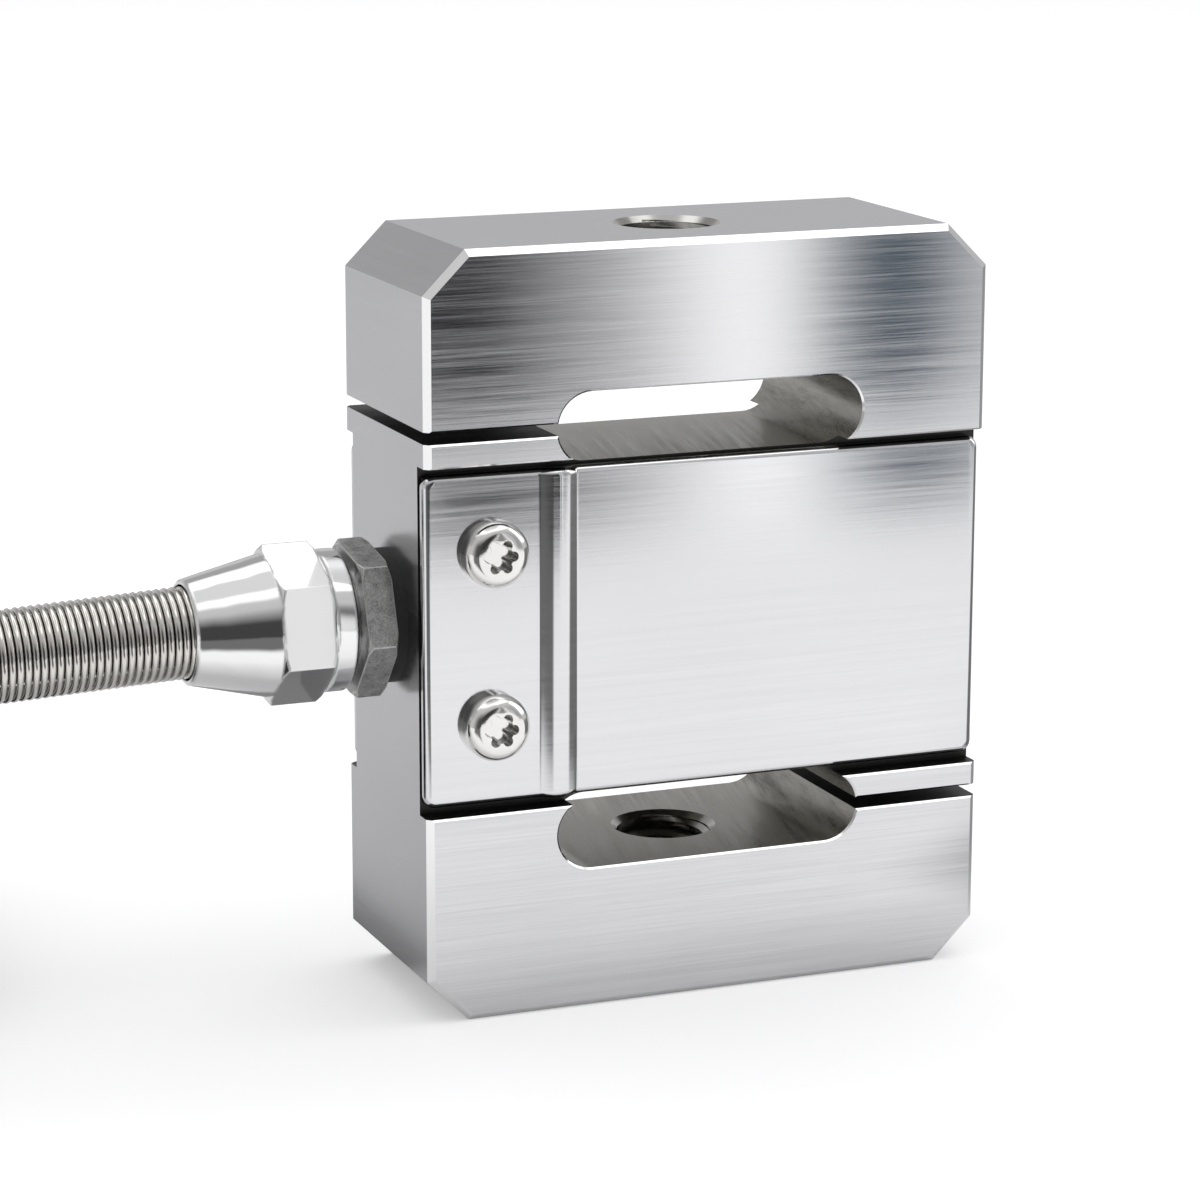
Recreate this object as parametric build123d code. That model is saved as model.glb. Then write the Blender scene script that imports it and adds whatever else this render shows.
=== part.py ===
from build123d import *

import math
import os

# A small S type load cell: a slotted steel block with a threaded hole in each end,
# two covers over the strain gauges, and a sprung cable gland on its left side.
# Millimetres, +Z up, +X to the right, -Y towards the front cover.
# The origin is the centre of the lower threaded hole, on the bottom face.

# Block
body_width = 50.0
body_depth = 20.0
body_height = 64.0
corner_chamfer = 3.6
edge_bevel = 0.55
edge_break = 0.15

# The two long slots and the slits that open them to the sides
slot_from_end = 15.0
slot_height = 6.0
slot_length = 27.2
slit_gap = 1.0

# Threaded holes for the load, M8
load_thread_radius = 4.0
load_thread_chamfer = 0.5

# Seats for the covers, front and back, which just cut into both slots
seat_depth = 2.0
seat_past_slot = 0.5
cover_gap = 0.7
cover_side_gap = 0.1
gasket_thickness = 0.3
gasket_margin = 0.25
cover_thickness = 0.9
cover_corner_radius = 1.0
cover_edge_round = 0.6

# The stiffening bead pressed into each cover
bead_from_left = 11.7
bead_width = 3.2
bead_rise = 0.6
bead_foot_round = 0.5

# Cover screws, M3 pan head with a six-lobed recess
screw_from_left = 6.0
screw_from_cover_end = 6.6
screw_radius = 1.5
screw_length = 6.0
screw_hole_clearance = 0.2
screw_thread_clearance = 0.05
screw_head_radius = 2.8
screw_head_height = 2.0
screw_head_side = 0.7
screw_head_flat_radius = 1.9
recess_radius = 1.05
recess_lobe_radius = 0.42
recess_depth = 1.2
lobe_count = 6
screw_tip_chamfer = 0.3
screw_hole_tip_room = 1.0

# Sensing web: a shallow tray and a round bore from each side
tray_from_left = 13.0
tray_from_right = 5.0
tray_from_cover_end = 3.8
tray_depth = 2.2
tray_corner_radius = 3.0
bore_radius = 8.0
web_thickness = 2.5

# Strain gauge and terminal board on each side
gauge_length = 9.0
gauge_thickness = 0.15
gauge_tab = 3.0
board_width = 7.5
board_height = 12.0
board_thickness = 0.8
board_from_bore = 1.5
pad_length = 1.8
pad_width = 1.2
pad_height = 0.4
resistor_length = 2.6
resistor_width = 1.2
resistor_thickness = 0.6

# Cable gland, each length measured outwards along its axis
gland_above_middle = 0.6
gland_thread_radius = 4.0
gland_thread_clearance = 0.05
gland_thread_inside = 9.0
gland_bore_radius = 2.7
gland_bore_overrun = 1.0
washer_thickness = 1.05
washer_radius = 5.6
lock_nut_thickness = 2.55
lock_nut_across_flats = 11.5
lock_nut_turn = 50.0
neck_length = 0.6
neck_radius = 4.5
collar_length = 2.0
collar_radius = 5.9
collar_edge_round = 0.25
cap_thread_length = 4.2
cap_thread_radius = 4.7
seal_seat_depth = 3.2
seal_radius = 3.7
clamp_ring_thickness = 1.0
cap_hex_length = 4.4
cap_across_flats = 11.5
cap_turn = 38.0
hex_chamfer = 0.5
cone_length = 6.8
cone_base_radius = 5.9
cone_end_radius = 4.35
cone_end_round = 0.2
cap_throat_radius = 2.9

# Spring bend guard, close wound
guard_radius = 3.8
guard_clearance = 0.15
guard_seat_depth = 2.4
guard_insertion = 2.1
guard_wire = 0.6
guard_pitch = 0.65
guard_turns = 46
guard_droop = 2.5
guard_ridge_height = 0.25

# Cable
cable_radius = 2.5
cable_inside_length = 12.0
lead_radius = 0.4
lead_pitch = 0.88

# The spare cable, wound into a neat coil that rests on its ties
coil_centre_x = -92.0
coil_centre_y = 30.0
coil_turn_radius = 25.0
coil_layers = 6
coil_columns = 3
coil_corner = 1.2
tie_thickness = 0.8
tie_angle = 12.0
tie_places = (55.0, -125.0)
tail_place = -40.0

# The stripped end of the cable
end_lead_count = 5
end_lead_radius = 0.6
end_lead_spread = 1.5
end_lead_fan = 3.0
end_lead_length = 24.0

# Worked out from the sizes above
left = -body_width / 2
front = -body_depth / 2
middle = body_height / 2
gland_height = middle + gland_above_middle
seat_height = body_height - 2 * slot_from_end - slot_height + 2 * seat_past_slot
seat_face = front + seat_depth
tray_face = seat_face + tray_depth
web_face = -web_thickness / 2
gasket_face = seat_face - gasket_thickness
cover_face = gasket_face - cover_thickness
cover_width = body_width - 2 * cover_side_gap
cover_height = seat_height - 2 * cover_gap
screw_x = left + screw_from_left
screw_spacing = cover_height - 2 * screw_from_cover_end
bead_x = left + bead_from_left
board_x = bore_radius + board_from_bore + board_width / 2
nut_start = washer_thickness
neck_start = nut_start + lock_nut_thickness
collar_start = neck_start + neck_length
cap_start = collar_start + collar_length
cone_start = cap_start + cap_hex_length
gland_end = cone_start + cone_length
cap_thread_end = cap_start + cap_thread_length
clamp_end = cap_thread_end + clamp_ring_thickness
guard_length = guard_turns * guard_pitch
coil_section = 2 * cable_radius * coil_columns
coil_height = 2 * cable_radius * coil_layers


# Placing helpers

def mirrored(shape):
    """The same piece on the back of the block."""
    return mirror(shape, about=Plane.XZ)


def along_depth(sketch, start, end):
    """A sketch drawn as seen from the front, in X and Z, made solid between two depths."""
    face = Plane(origin=(0, start, 0), x_dir=(1, 0, 0), z_dir=(0, -1, 0)) * sketch
    return extrude(face, amount=start - end)


gland_plane = Plane(origin=(left, 0, gland_height), x_dir=(0, -1, 0), z_dir=(-1, 0, 0))


def turned(profile):
    """A turned gland piece: its profile gives radius and distance out of the block."""
    section = Plane.XZ * make_face(Polyline(*profile, close=True))
    return gland_plane * revolve(section, axis=Axis.Z)


def gland_cylinder(radius, start, end):
    return gland_plane * Pos(0, 0, start) * Cylinder(
        radius, end - start, align=(Align.CENTER, Align.CENTER, Align.MIN)
    )


# Block

def slot_sketch(centre_z, side):
    """One long slot with its slit, which opens to the side given as -1 or 1."""
    slot = Pos(0, centre_z) * SlotOverall(slot_length, slot_height)
    slit = Pos(side * body_width / 2, centre_z) * Rectangle(body_width, slit_gap)
    return slot + slit


def block_blank():
    outline = Pos(0, middle) * Rectangle(body_width, body_height)
    outline = chamfer(outline.vertices(), corner_chamfer)
    blank = along_depth(outline, -front, front)
    rim = blank.edges().filter_by_position(Axis.Y, front, front)
    rim = rim + blank.edges().filter_by_position(Axis.Y, -front, -front)
    return chamfer(rim, edge_bevel)


def cover_seat():
    seat = Pos(0, middle) * Rectangle(body_width + 2, seat_height)
    return along_depth(seat, seat_face, front - 1)


def sharp_edges(block):
    """The edges that the slots and seats leave on the front and back faces, inside the bevel."""
    inside_x = body_width / 2 - 1.5 * edge_bevel
    inside_z = body_height / 2 - 1.5 * edge_bevel
    inside_corner = (body_width + body_height) / 2 - corner_chamfer - 1.5 * edge_bevel
    sharp = []
    for depth in (front, -front):
        for edge in block.edges().filter_by_position(Axis.Y, depth, depth):
            x, z = abs(edge.center().X), abs(edge.center().Z - middle)
            if x < inside_x and z < inside_z and x + z < inside_corner:
                sharp.append(edge)
    return sharp


def tray_outline():
    tray_width = body_width - tray_from_left - tray_from_right
    tray = Rectangle(tray_width, cover_height - 2 * tray_from_cover_end)
    tray = fillet(tray.vertices(), tray_corner_radius)
    return Pos(left + tray_from_left + tray_width / 2, middle) * tray


def sensing_pocket():
    bore = Pos(0, middle) * Circle(bore_radius)
    tray = along_depth(tray_outline(), tray_face, seat_face)
    return tray + along_depth(bore, web_face, seat_face)


def screw_holes():
    holes = []
    depth = screw_length - cover_thickness - gasket_thickness + screw_hole_tip_room
    for side in (-1, 1):
        at = Pos(screw_x, middle + side * screw_spacing / 2)
        hole = at * Circle(screw_radius + screw_thread_clearance)
        holes.append(along_depth(hole, seat_face + depth, seat_face))
    return holes


def load_hole(start, end):
    """A threaded hole through one end block, with a chamfer at each mouth."""
    r, c = load_thread_radius, load_thread_chamfer
    points = [(0, start), (r + c, start), (r, start + c)]
    points = points + [(r, end - c), (r + c, end), (0, end)]
    return revolve(Plane.XZ * make_face(Polyline(*points, close=True)), axis=Axis.Z)


def make_body():
    block = block_blank()
    upper = body_height - slot_from_end
    for centre_z, side in ((upper, -1), (slot_from_end, 1)):
        block = block - along_depth(slot_sketch(centre_z, side), -front + 1, front - 1)
    block = block - cover_seat() - mirrored(cover_seat())
    block = chamfer(sharp_edges(block), edge_break)
    block = block - sensing_pocket() - mirrored(sensing_pocket())
    for hole in screw_holes():
        block = block - hole - mirrored(hole)
    block = block - load_hole(0, slot_from_end - slot_height / 2)
    block = block - load_hole(upper + slot_height / 2, body_height)
    inner_end = left + bore_radius - gland_bore_overrun
    gland_bore = gland_thread_radius + gland_thread_clearance
    return block - gland_cylinder(gland_bore, inner_end, 1)


# Covers

def cover_outline(inset):
    plate = Rectangle(cover_width - 2 * inset, cover_height - 2 * inset)
    return Pos(0, middle) * plate


def cover_screw_holes(radius):
    at = [(screw_x, middle + side * screw_spacing / 2) for side in (-1, 1)]
    return Sketch() + [Pos(x, z) * Circle(radius) for x, z in at]


def make_gasket():
    ring = cover_outline(gasket_margin) - tray_outline()
    ring = ring - cover_screw_holes(screw_radius + screw_hole_clearance)
    return along_depth(ring, seat_face, gasket_face)


def bead_cylinder(radius):
    """The bead is part of a cylinder that stands behind the cover's face."""
    half = bead_width / 2
    outer = (half ** 2 + bead_rise ** 2) / (2 * bead_rise)
    centre_y = cover_face - bead_rise + outer
    column = Cylinder(outer - radius, cover_height)
    return Pos(bead_x, centre_y, middle) * column


def cover_rim(plate):
    """The outer edges of the cover's face, over the ends of the bead too."""
    near = [e for e in plate.edges() if e.center().Y < cover_face + 0.01]
    end = cover_height / 2 - cover_corner_radius
    side = cover_width / 2 - cover_corner_radius
    return [e for e in near if abs(e.center().Z - middle) > end or abs(e.center().X) > side]


def bead_feet(plate):
    """The two upright edges where the bead rises from the cover's face."""
    upright = plate.edges().filter_by(Axis.Z)
    feet = upright.filter_by_position(Axis.Y, cover_face - 0.01, cover_face + 0.01)
    return [e for e in feet if abs(e.center().X - bead_x) < bead_width]


def make_cover():
    outline = fillet(cover_outline(0).vertices(), cover_corner_radius)
    plate = along_depth(outline, gasket_face, cover_face)
    behind = along_depth(cover_outline(-1), -front, gasket_face)
    plate = plate + (bead_cylinder(0) - behind)
    plate = fillet(bead_feet(plate), bead_foot_round)
    plate = fillet(cover_rim(plate), cover_edge_round)
    plate = plate - bead_cylinder(cover_thickness)
    holes = cover_screw_holes(screw_radius + screw_hole_clearance)
    return plate - along_depth(holes, gasket_face + 1, front - 1)


# Screws

def make_screw():
    """A pan head screw along Z, its seat at zero and its shank downwards."""
    side = (screw_head_radius, screw_head_side)
    flat = (screw_head_flat_radius, screw_head_height)
    wall = Polyline((0, 0), (screw_head_radius, 0), side)
    crown = TangentArc(side, flat, tangent=(0, 1))
    top = Polyline(flat, (0, screw_head_height), (0, 0))
    screw = revolve(Plane.XZ * make_face([wall, crown, top]), axis=Axis.Z)
    shank = Cylinder(screw_radius, screw_length, align=(Align.CENTER, Align.CENTER, Align.MAX))
    shank = chamfer(shank.edges().group_by(Axis.Z)[0], screw_tip_chamfer)
    recess = Sketch() + Circle(recess_radius)
    for place in PolarLocations(recess_radius, lobe_count):
        recess = recess + place * Circle(recess_lobe_radius)
    floor = Pos(0, 0, screw_head_height - recess_depth)
    return screw + shank - extrude(floor * recess, amount=recess_depth + 1)


def seat_screw(screw, side):
    seat = (screw_x, cover_face, middle + side * screw_spacing / 2)
    return Plane(origin=seat, x_dir=(1, 0, 0), z_dir=(0, -1, 0)) * screw


# Gauges, boards and their wires

def make_gauge():
    grid = Pos(0, middle) * Rot(0, 0, 45) * Rectangle(gauge_length, gauge_length)
    tab = Pos(gauge_length / 2 + gauge_tab / 4, middle) * Rectangle(gauge_tab, gauge_tab)
    return along_depth(grid + tab, web_face, web_face - gauge_thickness)


def make_board():
    plate = Pos(board_x, middle) * Rectangle(board_width, board_height)
    board = along_depth(plate, tray_face, tray_face - board_thickness)
    top = tray_face - board_thickness
    step = board_height / 5
    for k in range(4):
        pad = Rectangle(pad_length, pad_width)
        pad = Pos(board_x - board_width / 4, middle + (k - 1.5) * step) * pad
        board = board + along_depth(pad, top, top - pad_height)
    return board


def make_resistor():
    top = tray_face - board_thickness
    chip = Pos(board_x + board_width / 4, middle) * Rectangle(resistor_width, resistor_length)
    return along_depth(chip, top, top - resistor_thickness)


def route(points):
    """A path of straight runs joined by arcs as large as each pair of runs allows."""
    points = [Vector(*p) for p in points]
    runs = [b - a for a, b in zip(points, points[1:])]
    radii = []
    for before, after in zip(runs, runs[1:]):
        half_turn = math.radians(before.get_angle(after)) / 2
        radii.append(0.45 * min(before.length, after.length) / math.tan(half_turn))
    return FilletPolyline(*points, radius=radii), radii


def tube(points, radius):
    path, radii = route(points)
    start = Plane(origin=path @ 0, z_dir=path % 0)
    return sweep(start * Circle(radius), path=path), path, radii


def inner_lead(k):
    """One of the four thin wires from the cable's inner end to its pad on the front board."""
    row = k - 1.5
    start_z = gland_height + row * lead_pitch
    pad_x = board_x - board_width / 4
    pad_z = middle + row * board_height / 5
    over_pad = tray_face - board_thickness - pad_height - lead_radius
    points = [(left + cable_inside_length, web_face + lead_radius, start_z)]
    points.append((-bore_radius - gland_bore_overrun, web_face, start_z))
    points.append((0.6 * bore_radius, over_pad + 2 * lead_radius, pad_z))
    points.append((pad_x - pad_length / 2 - lead_radius, over_pad, pad_z))
    points.append((pad_x + pad_length / 2, over_pad, pad_z))
    path = Polyline(*points)
    start = Plane(origin=path @ 0, z_dir=path % 0)
    return sweep(start * Circle(lead_radius), path=path, transition=Transition.RIGHT)


# Gland

def make_washer():
    inner, outer = gland_thread_radius + gland_thread_clearance, washer_radius
    return turned([(inner, 0), (outer, 0), (outer, nut_start), (inner, nut_start)])


def hexagon(across_flats, turn, start, end):
    """A chamfered hexagon on the gland's axis."""
    corner = across_flats / math.sqrt(3)
    prism = RegularPolygon(corner, 6, rotation=turn)
    prism = gland_plane * Pos(0, 0, start) * extrude(prism, amount=end - start)
    rim = corner + 0.01
    inner, slope = corner - hex_chamfer, hex_chamfer * math.tan(math.radians(30))
    points = [(0, start), (inner, start), (rim, start + slope), (rim, end - slope)]
    return prism & turned(points + [(inner, end), (0, end)])


def make_lock_nut():
    nut = hexagon(lock_nut_across_flats, lock_nut_turn, nut_start, neck_start)
    return nut - gland_cylinder(gland_thread_radius + gland_thread_clearance, 0, collar_start)


def make_gland_body():
    bore, thread = gland_bore_radius, gland_thread_radius
    seat_start = cap_thread_end - seal_seat_depth
    e = collar_edge_round
    points = [(bore, -gland_thread_inside), (thread, -gland_thread_inside), (thread, neck_start)]
    points = points + [(neck_radius, neck_start), (neck_radius, collar_start)]
    points = points + [(collar_radius - e, collar_start), (collar_radius, collar_start + e)]
    points = points + [(collar_radius, cap_start - e), (collar_radius - e, cap_start)]
    points = points + [(cap_thread_radius, cap_start), (cap_thread_radius, cap_thread_end)]
    points = points + [(seal_radius, cap_thread_end), (seal_radius, seat_start), (bore, seat_start)]
    return turned(points)


def make_seal():
    inner, outer = cable_radius, seal_radius
    start, end = cap_thread_end - seal_seat_depth, cap_thread_end
    return turned([(inner, start), (outer, start), (outer, end), (inner, end)])


def make_clamp_ring():
    start, end = cap_thread_end, clamp_end
    inner, outer = cap_throat_radius, cap_thread_radius
    return turned([(inner, start), (outer, start), (outer, end), (inner, end)])


def make_cap():
    """The compression nut: a hexagon and a long cone in one turned piece."""
    cap = hexagon(cap_across_flats, cap_turn, cap_start, cone_start)
    seat = gland_end - guard_seat_depth
    seat_radius = guard_radius + guard_clearance
    e = cone_end_round
    cone = [(0, cone_start), (cone_base_radius, cone_start), (cone_end_radius, gland_end - e)]
    cap = cap + turned(cone + [(cone_end_radius - e, gland_end), (0, gland_end)])
    cap = cap - gland_cylinder(cap_thread_radius, cap_start - 1, clamp_end)
    cap = cap - gland_cylinder(cap_throat_radius, clamp_end - 1, gland_end)
    return cap - gland_cylinder(seat_radius, seat, gland_end + 1)


# Spring guard, on an axis that droops a little from the gland's mouth

guard_plane = gland_plane * Pos(0, 0, gland_end) * Rot(guard_droop, 0, 0)


def make_guard():
    """Close wound turns of wire: a ridge for each turn on a thin tube."""
    crest, valley = guard_radius, guard_radius - guard_ridge_height
    points = [(guard_radius - guard_wire, 0), (valley, 0)]
    for k in range(guard_turns):
        points = points + [(crest, (k + 0.5) * guard_pitch), (valley, (k + 1) * guard_pitch)]
    points = points + [(guard_radius - guard_wire, guard_length)]
    section = Plane.XZ * make_face(Polyline(*points, close=True))
    return guard_plane * Location((0, 0, -guard_insertion)) * revolve(section, axis=Axis.Z)


# Cable

def make_inner_cable():
    return gland_cylinder(cable_radius, -cable_inside_length, gland_end)


mouth_x = left - gland_end
cable_route = [
    (mouth_x, 0.0, gland_height),
    (-50.0, 0.0, 32.6),
    (-60.0, 0.0, 32.2),
    (-70.5, 0.0, 31.1),
    (-80.5, 0.1, 28.0),
    (-91.0, 0.3, 27.8),
    (-102.5, 2.4, 27.8),
]


def coil_place(angle, radius, height):
    turn = math.radians(angle)
    x = coil_centre_x + radius * math.cos(turn)
    y = coil_centre_y + radius * math.sin(turn)
    return (x, y, height)


def coil_profile(grow):
    """The outline of the coil's section, grown by the thickness of a tie."""
    width, height = coil_section + 2 * grow, coil_height + 2 * grow
    outline = chamfer(Rectangle(width, height).vertices(), coil_corner + grow / 2)
    centre = coil_place(0, coil_turn_radius, tie_thickness + coil_height / 2)
    return Plane(origin=centre, x_dir=(1, 0, 0), z_dir=(0, -1, 0)) * outline


coil_axis = Axis((coil_centre_x, coil_centre_y, 0), (0, 0, 1))


def make_coil():
    return revolve(coil_profile(0), axis=coil_axis)


def make_tie(angle):
    """A strap right round the coil's section, as wide as its angle."""
    strap = coil_profile(tie_thickness) - coil_profile(0)
    band = revolve(strap, axis=coil_axis, revolution_arc=tie_angle)
    return band.rotate(coil_axis, angle - tie_angle / 2)


def tail_route():
    """The last of the cable, which leaves the coil's outermost bottom turn and lies on the floor."""
    outer_turn = coil_turn_radius + coil_section / 2 - cable_radius
    x, y, z = coil_place(tail_place, outer_turn, tie_thickness + cable_radius)
    points = [(x, y, z), (x - 9, y - 11, cable_radius + 0.3)]
    return points + [(x - 22, y - 15.6, cable_radius), (x - 32, y - 15.9, cable_radius)]


def make_end_leads(end, direction):
    """Four stripped conductors and the bare screen wire at the cable's far end."""
    across = Vector(direction.Y, -direction.X, 0).normalized()
    ahead = Vector(direction.X, direction.Y, 0)
    leads = []
    for k in range(end_lead_count):
        angle = 2 * math.pi * (k + 0.25) / end_lead_count
        side = across * end_lead_spread * math.cos(angle)
        up = across.cross(direction) * end_lead_spread * math.sin(angle)
        on_floor = Vector(end.X, end.Y, end_lead_radius)
        start = end + side + up
        tip = on_floor + ahead * end_lead_length + side * end_lead_fan
        foot = Plane(origin=start, z_dir=direction) * Circle(end_lead_radius)
        leads.append(extrude(foot, amount=(tip - start).length, dir=tip - start))
    return leads


def checked_tube(name, points, radius):
    """A cable tube, with its bend radii and its volume against section times length."""
    solid, path, radii = tube(points, radius)
    ideal = math.pi * radius ** 2 * path.length
    print(name, "radii", [round(r, 1) for r in radii])
    print(name, "length", round(path.length, 1), "volume share", round(solid.volume / ideal, 4))
    return solid, path


# Every piece by name

parts = {"body": make_body()}
cover, gasket, screw = make_cover(), make_gasket(), make_screw()
parts["front_cover"] = cover
parts["back_cover"] = mirrored(cover)
parts["front_gasket"] = gasket
parts["back_gasket"] = mirrored(gasket)
for word, side in (("upper", 1), ("lower", -1)):
    seated = seat_screw(screw, side)
    parts["front_screw_" + word] = seated
    parts["back_screw_" + word] = mirrored(seated)
parts["front_strain_gauge"] = make_gauge()
parts["back_strain_gauge"] = mirrored(make_gauge())
parts["front_terminal_board"] = make_board()
parts["back_terminal_board"] = mirrored(make_board())
parts["front_trim_resistor"] = make_resistor()
parts["back_trim_resistor"] = mirrored(make_resistor())
for k, colour in enumerate(("red", "black", "green", "white")):
    parts[colour + "_inner_lead"] = inner_lead(k)
parts["sealing_washer"] = make_washer()
parts["lock_nut"] = make_lock_nut()
parts["gland_body"] = make_gland_body()
parts["cable_seal"] = make_seal()
parts["clamp_ring"] = make_clamp_ring()
parts["compression_nut"] = make_cap()
parts["spring_guard"] = make_guard()
parts["cable_inner_end"] = make_inner_cable()
coil = make_coil()
lead, lead_path = checked_tube("cable_lead", cable_route, cable_radius)
parts["cable_lead"] = lead - coil
parts["cable_coil"] = coil
tail, tail_path = checked_tube("cable_tail", tail_route(), cable_radius)
parts["cable_tail"] = tail - coil
parts["cable_end_leads"] = Compound(children=make_end_leads(tail_path @ 1, tail_path % 1))
for word, angle in zip(("right", "left"), tie_places):
    parts["coil_tie_" + word] = make_tie(angle)

os.makedirs("parts", exist_ok=True)
for name, shape in parts.items():
    export_step(shape, "parts/" + name + ".step")
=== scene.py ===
import math

import bmesh
import bpy
from mathutils import Matrix, Vector


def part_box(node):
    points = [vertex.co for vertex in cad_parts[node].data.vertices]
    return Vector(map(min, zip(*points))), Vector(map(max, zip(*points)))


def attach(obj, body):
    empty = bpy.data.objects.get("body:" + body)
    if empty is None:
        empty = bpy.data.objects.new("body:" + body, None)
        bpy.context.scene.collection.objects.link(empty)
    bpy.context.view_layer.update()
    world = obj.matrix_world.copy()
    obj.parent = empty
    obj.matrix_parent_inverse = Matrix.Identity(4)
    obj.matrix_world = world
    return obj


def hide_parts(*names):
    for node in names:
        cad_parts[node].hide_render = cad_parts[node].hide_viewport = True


# A small S type load cell of plated steel, with its gauge covers, cable gland,
# spring guard and cable. Metres, in the same frame as the CAD model.

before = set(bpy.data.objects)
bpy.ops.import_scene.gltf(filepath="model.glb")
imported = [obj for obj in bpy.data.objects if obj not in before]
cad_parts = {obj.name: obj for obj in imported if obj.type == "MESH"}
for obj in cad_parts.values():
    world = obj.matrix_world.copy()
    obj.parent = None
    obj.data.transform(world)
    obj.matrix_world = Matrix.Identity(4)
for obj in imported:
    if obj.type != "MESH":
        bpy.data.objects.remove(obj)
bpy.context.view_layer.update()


# Camera
# The photograph's view: a long lens from the front left, a little above the cell and
# looking slightly down on it.

camera_place = (-0.12974, -0.303177, 0.107182)
camera_yaw = math.radians(22.221)
camera_pitch = math.radians(12.892)
camera_roll = math.radians(0.113)


def link(name, data):
    """A new object in the scene."""
    thing = bpy.data.objects.new(name, data)
    bpy.context.scene.collection.objects.link(thing)
    return thing


view = bpy.data.cameras.new("camera")
view.lens = 119.4
view.sensor_width = 36.0
view.clip_start = 0.01
camera = link("camera", view)
turn = Matrix.Rotation(-camera_yaw, 4, "Z") @ Matrix.Rotation(math.pi / 2 - camera_pitch, 4, "X")
turn = turn @ Matrix.Rotation(camera_roll, 4, "Z")
camera.matrix_world = Matrix.Translation(camera_place) @ turn
bpy.context.scene.camera = camera


# Cable
# Four cores and a screen in a round grey sheath, 5 mm across and about 3 m long.
# It leaves the gland inside the spring guard, and what is spare is wound and tied.

cable_diameter = 0.005
gland_mouth = (-0.0424, 0.0, 0.0326)
lead_route = [
    gland_mouth,
    (-0.0500, 0.0000, 0.0326),
    (-0.0600, 0.0000, 0.0322),
    (-0.0705, 0.0000, 0.0311),
    (-0.0805, 0.0001, 0.0280),
    (-0.0910, 0.0003, 0.0278),
]
tail_route = [(-0.0780, -0.0003, 0.0028), (-0.0910, -0.0049, 0.0025), (-0.1010, -0.0052, 0.0025)]
coil_centre = (-0.092, 0.030)
outer_turn = 0.030
top_turn = 0.0281
turns_across = 3
coil_turns = 17.86
points_per_turn = 24
lead_angle = math.radians(-94)
shift_start, shift_end = 0.656, 0.947


def turn_place(n):
    """Radius and height of a turn, wound in and out across each layer, from the top down."""
    layer, column = divmod(n, turns_across)
    if layer % 2:
        column = turns_across - 1 - column
    return outer_turn - column * cable_diameter, top_turn - layer * cable_diameter


def coil_point(turns):
    """A point of the coil, so many turns after the lead lands on it."""
    whole, part = divmod(turns, 1)
    radius, height = turn_place(int(whole))
    next_radius, next_height = turn_place(int(whole) + 1)
    if whole == int(coil_turns):
        next_radius, next_height = radius + cable_diameter, height
    shift = min(max((part - shift_start) / (shift_end - shift_start), 0), 1)
    shift = shift * shift * (3 - 2 * shift)
    if next_height < height:
        lean = 1 - 2 * shift
        apart = math.sqrt(1 + lean * lean)
        swing = math.sqrt(1 - apart * apart / 4) / apart
        side = 1 if radius == outer_turn else -1
        radius = radius + side * cable_diameter * (swing - 0.5)
        height = (height + next_height) / 2 + cable_diameter * lean * swing
    else:
        radius = radius + shift * (next_radius - radius)
    angle = lead_angle - 2 * math.pi * turns
    x = coil_centre[0] + radius * math.cos(angle)
    y = coil_centre[1] + radius * math.sin(angle)
    return (x, y, height)


coil_route = []
for k in range(1, round(coil_turns * points_per_turn)):
    coil_route.append(coil_point(k / points_per_turn))

line = bpy.data.curves.new("cable", "CURVE")
line.dimensions = "3D"
line.bevel_depth = cable_diameter / 2
line.bevel_resolution = 3
line.use_fill_caps = True
spline = line.splines.new("NURBS")
cable_points = lead_route + coil_route + tail_route
spline.points.add(len(cable_points) - 1)
for point, place in zip(spline.points, cable_points):
    point.co = (*place, 1)
spline.order_u = 3
spline.use_endpoint_u = True
spline.resolution_u = 4
cable = link("cable", line)


def added(tree, kind, inputs=(), **settings):
    """A new node with its settings, each input given a value or another node's output."""
    node = tree.nodes.new(kind)
    for setting, value in settings.items():
        setattr(node, setting, value)
    for socket, value in dict(inputs).items():
        if isinstance(value, bpy.types.NodeSocket):
            tree.links.new(value, node.inputs[socket])
        else:
            node.inputs[socket].default_value = value
    return node


def worked(tree, operation, *values, clamp=False):
    """What a Math node makes of numbers and other nodes' outputs."""
    settings = {"operation": operation, "use_clamp": clamp}
    return added(tree, "ShaderNodeMath", enumerate(values), **settings).outputs["Value"]


def ranged(tree, value, start, end, most=1.0):
    """A value spread from 0 at the start to its most at the end, and held beyond them."""
    inputs = {"Value": value, "From Min": start, "From Max": end, "To Max": most}
    return added(tree, "ShaderNodeMapRange", inputs).outputs["Result"]


def blended(tree, factor, first, second):
    """A colour between two others."""
    inputs = {"Factor": factor, "A": first, "B": second}
    return added(tree, "ShaderNodeMix", inputs, data_type="RGBA").outputs["Result"]


def new_group(name, kind, inputs, outputs):
    """An empty node group, with what it is given and what it makes."""
    group = bpy.data.node_groups.new(name, kind)
    for direction, sockets in (("INPUT", inputs), ("OUTPUT", outputs)):
        for label, socket in sockets.items():
            group.interface.new_socket(label, in_out=direction, socket_type="NodeSocket" + socket)
    given = group.nodes.new("NodeGroupInput").outputs
    result = group.nodes.new("NodeGroupOutput").inputs
    return group, given, result


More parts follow.
